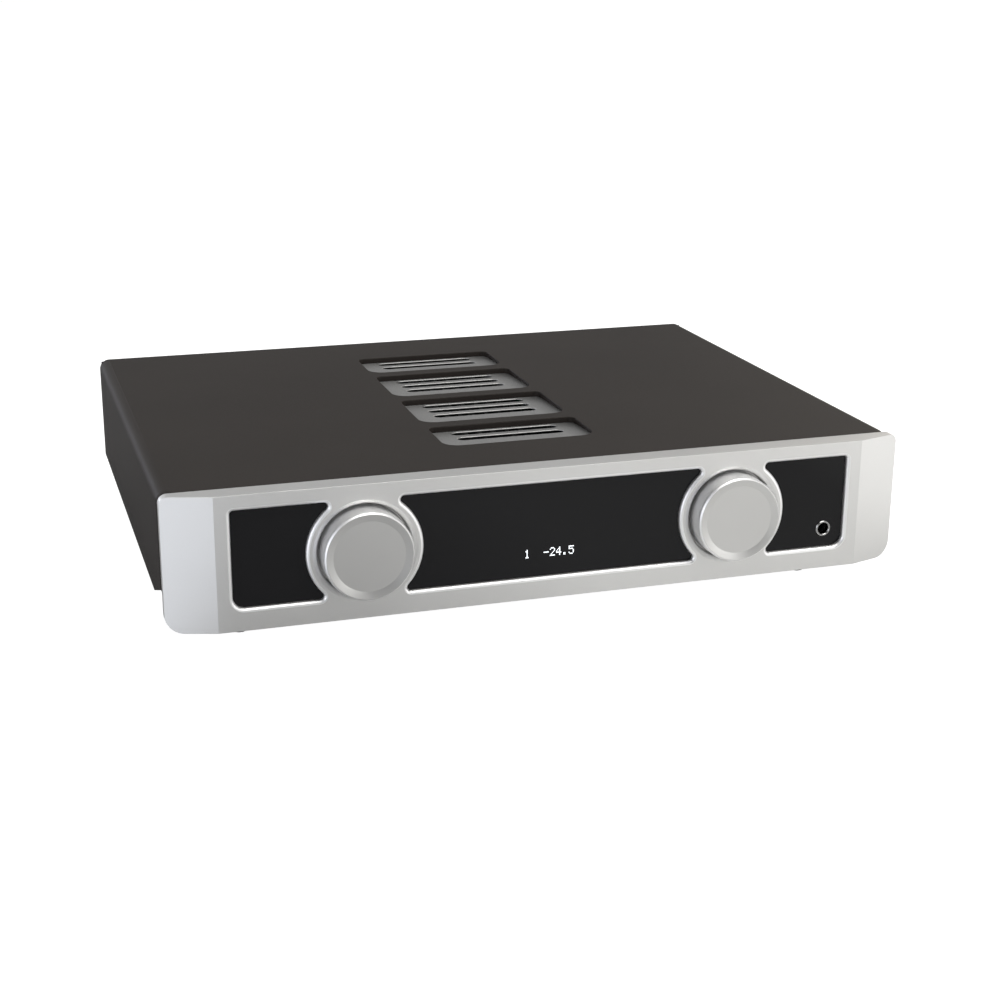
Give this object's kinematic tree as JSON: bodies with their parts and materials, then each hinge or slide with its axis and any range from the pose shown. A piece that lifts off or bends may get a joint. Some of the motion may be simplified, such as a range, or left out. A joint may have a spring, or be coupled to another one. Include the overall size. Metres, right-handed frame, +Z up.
{
  "type": "headphone amplifier",
  "caption": "Full-width audio component: thick silver front plate with swept ends, black windows, large round knobs, headphone socket, and a charcoal cover with sunk vents.",
  "frame": {"origin": "bottom centre of the whole object, on the plane the feet stand on", "axes": "+X to the right as seen from the front, +Y to the back, +Z up; the front plate faces -Y"},
  "size_m": [0.43, 0.344, 0.091],
  "materials": {
    "silver": "fine bead-blasted, clear anodised",
    "window": "gloss black",
    "charcoal": "satin powder coat",
    "vent_grey": "satin",
    "steel": "zinc plated",
    "black_plastic": "fine moulded texture",
    "brass": "plated",
    "board": "solder mask",
    "rubber": "matt",
    "winding": "taped winding",
    "capacitor_sleeve": "shrink sleeve",
    "black_aluminium": "black anodised",
    "fuse_glass": "clear",
    "display": "gloss"
  },
  "bodies": {
    "chassis": {"front_plate": "silver", "window_left": "window", "window_centre": "window", "window_right": "window", "sub_panel": "steel", "top_cover": "charcoal", "base_tray": "charcoal", "rear_panel": "charcoal", "display_module": "display", "control_board": "board", "headphone_jack": "black_plastic", "jack_ring": "steel", "jack_board": "board", "transformer": "winding", "transformer_washer": "steel", "transformer_bolt": "steel", "amp_board": "board", "heatsink": "black_aluminium", "input_board": "board", "mains_inlet": "black_plastic", "ribbon_cable": "black_plastic", "mains_lead": "black_plastic", "vent_grille_1": "vent_grey", "cover_screw_1": "steel", "filter_capacitor_1": "capacitor_sleeve", "vent_grille_2": "vent_grey", "cover_screw_2": "steel", "filter_capacitor_2": "capacitor_sleeve", "vent_grille_3": "vent_grey", "cover_screw_3": "steel", "filter_capacitor_3": "capacitor_sleeve", "vent_grille_4": "vent_grey", "cover_screw_4": "steel", "filter_capacitor_4": "capacitor_sleeve", "phono_block_1": "black_plastic", "phono_block_2": "black_plastic", "phono_block_3": "black_plastic", "encoder_housing_left": "black_plastic", "encoder_nut_left": "steel", "foot_front_left": "silver", "foot_pad_front_left": "rubber", "foot_back_left": "silver", "foot_pad_back_left": "rubber", "encoder_housing_right": "black_plastic", "encoder_nut_right": "steel", "foot_front_right": "silver", "foot_pad_front_right": "rubber", "foot_back_right": "silver", "foot_pad_back_right": "rubber"},
    "power_rocker": {"power_rocker": "black_plastic"},
    "fuse_drawer": {"fuse_drawer": "black_plastic", "fuse": "fuse_glass"},
    "plunger_left": {"encoder_plunger_left": "brass"},
    "knob_left": {"knob_left": "silver", "knob_screw_left": "steel", "encoder_shaft_left": "steel"},
    "plunger_right": {"encoder_plunger_right": "brass"},
    "knob_right": {"knob_right": "silver", "knob_screw_right": "steel", "encoder_shaft_right": "steel"}
  },
  "joints": [
    {"name": "knob_push_left", "type": "slide", "parent": "chassis", "child": "plunger_left", "axis": [0, 1, 0], "range_m": [0, 0.0005], "stiffness_N_per_m": 8000},
    {"name": "knob_turn_left", "type": "hinge", "parent": "plunger_left", "child": "knob_left", "pos_m": [-0.1075, -0.165, 0.0534], "axis": [0, -1, 0], "continuous": true},
    {"name": "knob_push_right", "type": "slide", "parent": "chassis", "child": "plunger_right", "axis": [0, 1, 0], "range_m": [0, 0.0005], "stiffness_N_per_m": 8000},
    {"name": "knob_turn_right", "type": "hinge", "parent": "plunger_right", "child": "knob_right", "pos_m": [0.1075, -0.165, 0.0534], "axis": [0, -1, 0], "continuous": true},
    {"name": "power_switch", "type": "hinge", "parent": "chassis", "child": "power_rocker", "pos_m": [-0.126, 0.163, 0.056], "axis": [1, 0, 0], "range_deg": [-24, 0]},
    {"name": "fuse_drawer_slide", "type": "slide", "parent": "chassis", "child": "fuse_drawer", "axis": [0, 1, 0], "range_m": [0, 0.018]}
  ]
}
